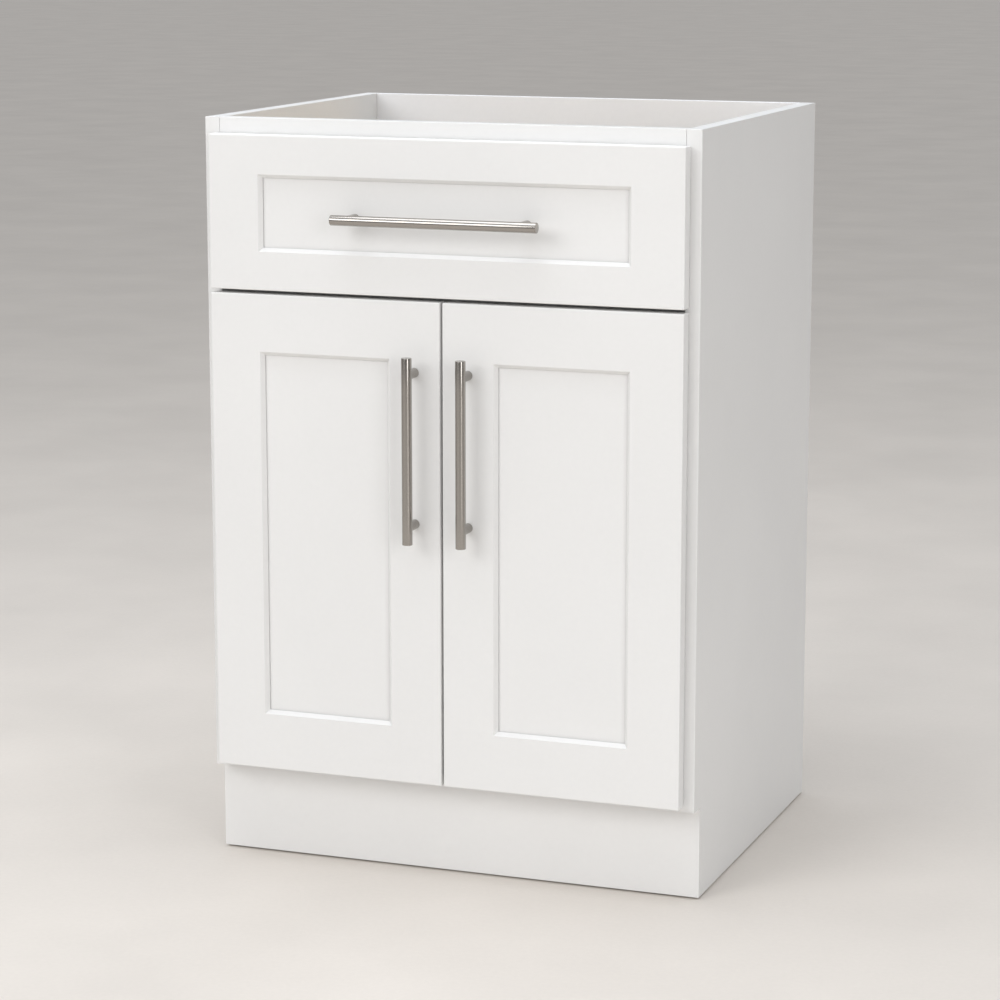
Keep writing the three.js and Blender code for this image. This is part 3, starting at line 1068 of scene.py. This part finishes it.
class VANITY_OT_pulls(bpy.types.Operator):
    """Three brushed nickel bar pulls on round posts"""

    bl_idname = "vanity.pulls"
    bl_label = "Bar pulls"

    def execute(self, context):
        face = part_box("drawer_front_top_rail")[0].y
        place, radius = pull_bar("drawer_pull_bar", 0)
        for side in SIDES:
            pull_post(f"drawer_pull_{side}_post", 0, place, radius, face)
        for side in SIDES:
            place, radius = pull_bar(f"{side}_door_pull_bar", 2)
            for level in LEVELS:
                pull_post(f"{side}_door_pull_{level}_post", 2, place, radius, face)
        return {"FINISHED"}


# ---- hinges ------------------------------------------------------------------------------------


def pressed(node, key, radius):
    """A steel pressing: the CAD shape with its cut edges rounded over."""
    bm = merged(node)
    ease(bm, folds(bm, 50.0), radius, segments=2)
    piece = finished(bm, f"{node}_pressing", key)
    return stand_for(even_normals(piece), node)


CUP_EAR_IN = 25.5 * MM  # from the cup flange's outer side to the middle of its ears
CUP_EAR_OUT = 24.0 * MM  # from the cup's middle up or down to an ear's screw
CUP_SCREW_HEIGHT = 1.3 * MM
PLATE_SHEET = 2.8 * MM  # thickness of a hinge plate
PLATE_SCREW_OUT = 21.0 * MM  # from the plate's middle up or down to a screw
PLATE_SCREW_HEIGHT = 2.0 * MM
ARM_WEB_IN = 11.7 * MM  # from the side panel's inner face to the outside of the arm's channel
ARM_SCREWS_BACK = (12.0 * MM, 34.0 * MM)  # from the back end of the arm, forwards
ARM_SCREW = (5.2 * MM, 0.9 * MM)  # a head's diameter and height


def cup_screw_spots(stem, side):
    """The two screws through a cup's ears, into the door."""
    x = face_x(f"{stem}_cup", side) + INWARD[side] * CUP_EAR_IN
    y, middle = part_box(f"{stem}_cup")[1].y, centre_of(f"{stem}_cup").z
    return [((x, y, middle + way * CUP_EAR_OUT), BACKWARD) for way in (-1, 1)]


def plate_screw_spots(stem, side):
    """The two screws through a plate's wings, into the side panel."""
    x = face_x(f"{stem}_plate", side) + INWARD[side] * PLATE_SHEET
    middle = centre_of(f"{stem}_plate")
    facing = (INWARD[side], 0, 0)
    return [((x, middle.y, middle.z + way * PLATE_SCREW_OUT), facing) for way in (-1, 1)]


def arm_screw_spots(stem, side, other):
    """The two adjusting screws in the arm's web."""
    x = face_x(f"{side}_side_panel", other) + INWARD[side] * ARM_WEB_IN
    end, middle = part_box(f"{stem}_arm")[1].y, centre_of(f"{stem}_arm").z
    return [((x, end - back, middle), (INWARD[side], 0, 0)) for back in ARM_SCREWS_BACK]


class VANITY_OT_hinges(bpy.types.Operator):
    """Four concealed hinges: plate, arm, link and cup, with their screws"""

    bl_idname = "vanity.hinges"
    bl_label = "Hinges"

    def execute(self, context):
        detail = context.scene.vanity_detail
        head = detail.screw_head
        plates, arms = [], []
        for side, other in zip(SIDES, reversed(SIDES)):
            cups = []
            for level in LEVELS:
                stem = f"{side}_{level}_hinge"
                pressed(f"{stem}_plate", "zinc", detail.metal_easing)
                for part in ("arm", "link", "cup"):
                    pressed(f"{stem}_{part}", "steel", detail.metal_easing)
                cups += cup_screw_spots(stem, side)
                plates += plate_screw_spots(stem, side)
                arms += arm_screw_spots(stem, side, other)
            name, size = f"{side}_hinge_cup_screws", (head, CUP_SCREW_HEIGHT)
            screws(name, cups, f"{side}_door", size)
        size = (head, PLATE_SCREW_HEIGHT)
        screws("hinge_plate_screws", plates, "root", size)
        screws("hinge_arm_screws", arms, "root", ARM_SCREW, key="steel")
        return {"FINISHED"}


# ---- slides ------------------------------------------------------------------------------------

SLIDE_SHEET = 1.2 * MM  # thickness of a slide member's web
SLIDE_SCREW = (6.0 * MM, 0.9 * MM)  # a head's diameter and height
SLIDE_SCREWS_ALONG = (0.08, 0.5, 0.92)  # places of the fixing screws, as parts of the length
BALL = 2.6 * MM
BALL_PITCH = 8.0 * MM
BALLS_IN_ROW = 23  # all in the part that stays in the cabinet's member when the drawer is out
RACE_IN = 6.4 * MM  # from the side panel to the middle of a row of balls


class VANITY_OT_slides(bpy.types.Operator):
    """Two three-part ball-bearing drawer slides with balls and fixing screws"""

    bl_idname = "vanity.slides"
    bl_label = "Drawer slides"

    def execute(self, context):
        radius = context.scene.vanity_detail.metal_easing
        fixings, balls = [], []
        for side in SIDES:
            for part in ("cabinet", "middle", "drawer"):
                pressed(f"{side}_slide_{part}_member", "zinc", radius)
            outer = f"{side}_slide_cabinet_member"
            low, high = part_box(outer)
            wall = face_x(outer, side)
            x = wall + INWARD[side] * SLIDE_SHEET
            for part in SLIDE_SCREWS_ALONG:
                spot = (x, low.y + part * (high.y - low.y), (low.z + high.z) / 2)
                fixings.append((spot, (INWARD[side], 0, 0)))
            inner_low, inner_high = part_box(f"{side}_slide_middle_member")
            x = wall + INWARD[side] * RACE_IN
            for z, way in ((inner_high.z, 1), (inner_low.z, -1)):
                for k in range(BALLS_IN_ROW):
                    spot = (x, high.y - (k + 1) * BALL_PITCH, z + way * BALL / 2)
                    balls.append((spot, (0, 0, 1)))
        screws("slide_screws", fixings, "root", SLIDE_SCREW)
        size = (BALL, BALL)
        studs("slide_balls", balls, "slide_middle_members", size, "steel")
        return {"FINISHED"}


# ---- screws and bumpers ------------------------------------------------------------------------

PULL_SCREW = (8.5 * MM, 1.5 * MM)  # a head's diameter and height
FRONT_SCREW = (7.0 * MM, 1.6 * MM)
FRONT_SCREW_IN = 45 * MM  # from the ends of the drawer box's front, inwards
FRONT_SCREW_DOWN = 22 * MM  # from its top edge
FRONT_SCREW_UP = 32 * MM  # from its bottom edge
BUMPER_HEIGHT = 3.0 * MM
BUMPER_IN = 15 * MM  # from the top and bottom of a door


def pull_screw_spots(posts, y):
    """Behind each post, on a back face at y."""
    return [((centre_of(post).x, y, centre_of(post).z), BACKWARD) for post in posts]


class VANITY_OT_fittings(bpy.types.Operator):
    """Screws that hold the pulls and the drawer front, and the bumpers behind the doors"""

    bl_idname = "vanity.fittings"
    bl_label = "Screws and bumpers"

    def execute(self, context):
        bumper = (context.scene.vanity_detail.bumper, BUMPER_HEIGHT)
        for side in SIDES:
            body = f"{side}_door"
            stile = f"{body}_inner_stile"
            low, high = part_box(stile)
            heads = pull_screw_spots([f"{body}_pull_{level}_post" for level in LEVELS], high.y)
            screws(f"{body}_pull_screws", heads, body, PULL_SCREW)
            x = centre_of(stile).x
            dots = [((x, high.y, z), BACKWARD) for z in (low.z + BUMPER_IN, high.z - BUMPER_IN)]
            studs(f"{body}_bumpers", dots, body, bumper, "rubber")
        low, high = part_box("drawer_box_front")
        heads = pull_screw_spots([f"drawer_pull_{side}_post" for side in SIDES], high.y)
        screws("drawer_pull_screws", heads, "drawer", PULL_SCREW)
        corners = [
            ((x, high.y, z), BACKWARD)
            for x in (low.x + FRONT_SCREW_IN, high.x - FRONT_SCREW_IN)
            for z in (low.z + FRONT_SCREW_UP, high.z - FRONT_SCREW_DOWN)
        ]
        screws("drawer_front_screws", corners, "drawer", FRONT_SCREW, seed=9)
        return {"FINISHED"}


# ---- stage -------------------------------------------------------------------------------------

FLOOR_REACH = 45.0  # half the floor's side, so that it runs on to the horizon
CLIP_END = 100.0
CABINET_MIDDLE = (0.0, 0.0, 0.45)


def floor_material(colour):
    """Pale, faintly mottled matt floor."""
    group = bpy.data.node_groups["Painted skin"]
    values = {
        "Color": rgba(colour),
        "Shade": 0.93,
        "Peel scale": 90.0,
        "Smooth": 0.55,
        "Rough": 0.75,
    }
    return shader("Pale floor", group, values, bump=0.02 * MM)


def softbox(name, place, aim, width, height, watts, colour=(1.0, 1.0, 1.0)):
    """A rectangular light at place, turned to aim."""
    light = bpy.data.lights.new(name, "AREA")
    light.shape = "RECTANGLE"
    light.size, light.size_y = width, height
    light.energy = watts
    light.color = colour
    lamp = bpy.data.objects.new(name, light)
    lamp.location = place
    lamp.rotation_euler = (Vector(aim) - Vector(place)).to_track_quat("-Z", "Y").to_euler()
    bpy.context.scene.collection.objects.link(lamp)


def studio_world():
    """Soft light from overhead that darkens towards the horizon, for contrast in the metal."""
    world = bpy.data.worlds.new("Studio")
    world.use_nodes = True
    tree = world.node_tree
    split = tree.nodes.new("ShaderNodeSeparateXYZ")
    tree.links.new(tree.nodes.new("ShaderNodeTexCoord").outputs["Generated"], split.inputs[0])
    height = ranged(tree, split.outputs["Z"], 0.22, 0.66, 0.2, 0.6)
    background = tree.nodes["Background"]
    background.inputs["Color"].default_value = (0.95, 0.97, 1.0, 1.0)
    tree.links.new(height, background.inputs["Strength"])
    return world


class VANITY_OT_stage(bpy.types.Operator):
    """Pale floor, soft lights and the camera"""

    bl_idname = "vanity.stage"
    bl_label = "Stage"

    def execute(self, context):
        scene = context.scene
        stage = scene.vanity_stage
        bm = bmesh.new()
        bmesh.ops.create_grid(bm, x_segments=8, y_segments=8, size=FLOOR_REACH)
        mesh = bpy.data.meshes.new("floor")
        bm.to_mesh(mesh)
        bm.free()
        mesh.materials.append(floor_material(stage.floor))
        floor = bpy.data.objects.new("floor", mesh)
        scene.collection.objects.link(floor)

        softbox("key", (-2.6, -4.7, 3.0), CABINET_MIDDLE, 3.4, 2.6, 106.0)
        softbox("top", (-0.2, -0.3, 3.4), (0.0, 0.0, 0.0), 2.4, 2.4, 54.0, (0.93, 0.96, 1.0))
        softbox("side fill", (2.9, -2.9, 1.4), CABINET_MIDDLE, 1.4, 2.2, 38.0)
        scene.world = studio_world()
        scene.view_settings.view_transform = "Standard"

        lens = bpy.data.cameras.new("camera")
        lens.lens = stage.lens
        lens.clip_end = CLIP_END
        camera = bpy.data.objects.new("camera", lens)
        camera.location = stage.place
        camera.rotation_euler = (math.pi / 2 - stage.tilt, 0.0, stage.turn)
        scene.collection.objects.link(camera)
        scene.camera = camera
        return {"FINISHED"}


# ---- panel and registration --------------------------------------------------------------------

STEPS = (
    VANITY_OT_carcass,
    VANITY_OT_doors,
    VANITY_OT_drawer_front,
    VANITY_OT_drawer_box,
    VANITY_OT_pulls,
    VANITY_OT_hinges,
    VANITY_OT_slides,
    VANITY_OT_fittings,
    VANITY_OT_stage,
)


class VANITY_PT_build(bpy.types.Panel):
    """Lists the steps that build the cabinet"""

    bl_idname = "VANITY_PT_build"
    bl_label = "Vanity cabinet"
    bl_space_type = "VIEW_3D"
    bl_region_type = "UI"
    bl_category = "Vanity"

    def draw(self, context):
        for step in STEPS:
            self.layout.operator(step.bl_idname)
        for group in GROUPS:
            settings = getattr(context.scene, group)
            column = self.layout.column()
            for label in settings.bl_rna.properties.keys():
                if label not in ("rna_type", "name"):
                    column.prop(settings, label)


GROUPS = {
    "vanity_finish": VanityFinish,
    "vanity_detail": VanityDetail,
    "vanity_stage": VanityStage,
}
CLASSES = (*GROUPS.values(), *STEPS, VANITY_PT_build)


def register():
    for cls in CLASSES:
        bpy.utils.register_class(cls)
    for label, group in GROUPS.items():
        setattr(bpy.types.Scene, label, bpy.props.PointerProperty(type=group))


def unregister():
    for label in GROUPS:
        delattr(bpy.types.Scene, label)
    for cls in reversed(CLASSES):
        bpy.utils.unregister_class(cls)


def main():
    register()
    for step in STEPS:
        family, _, label = step.bl_idname.partition(".")
        getattr(getattr(bpy.ops, family), label)()


if __name__ == "__main__":
    main()
